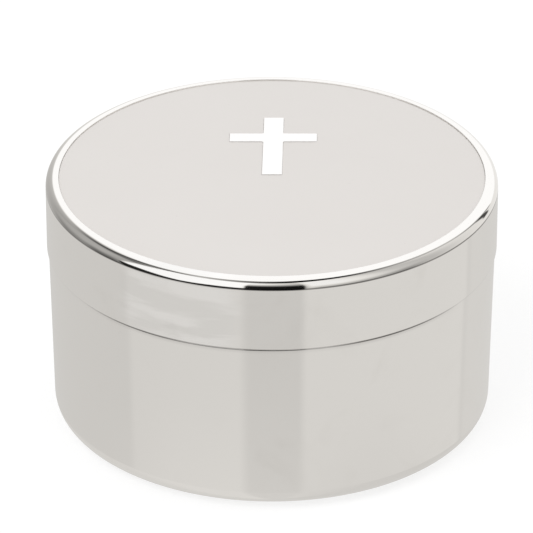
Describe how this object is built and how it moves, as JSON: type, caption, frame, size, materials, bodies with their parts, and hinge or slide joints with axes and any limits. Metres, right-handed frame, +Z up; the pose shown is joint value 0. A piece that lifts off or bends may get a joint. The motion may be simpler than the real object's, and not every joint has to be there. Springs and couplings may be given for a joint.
{
  "type": "rosary box",
  "caption": "Round lidded keepsake box: polished metal base with an inner collar, lift-off lid with an enamel panel and a plain cross, and a padded lining.",
  "frame": {"origin": "centre of the resting face under the base", "axes": "+Z up through the lid, which lifts along it; the cross on the lid stands towards +Y, and the pictured side faces -Y"},
  "size_m": [0.076, 0.076, 0.0434],
  "materials": {
    "silver_plate": "mirror polish with light handling smudges",
    "cross_metal": "mirror polish",
    "enamel": "smooth glossy warm white enamel",
    "velvet": "short dense pile",
    "felt": "pressed felt",
    "card": "matt grey board",
    "foam": "open-cell foam"
  },
  "bodies": {
    "base": {"base_shell": "silver_plate", "inner_collar": "silver_plate", "base_felt": "felt", "floor_card": "card", "floor_foam": "foam", "floor_velvet": "velvet", "wall_card": "card", "wall_velvet": "velvet"},
    "lid": {"lid_shell": "silver_plate", "lid_cross": "cross_metal", "lid_enamel": "enamel", "lid_card": "card", "lid_foam": "foam", "lid_velvet": "velvet"}
  },
  "joints": [
    {"name": "lid_lift", "type": "slide", "parent": "base", "child": "lid", "axis": [0, 0, 1], "range_m": [0, 0.06]}
  ]
}
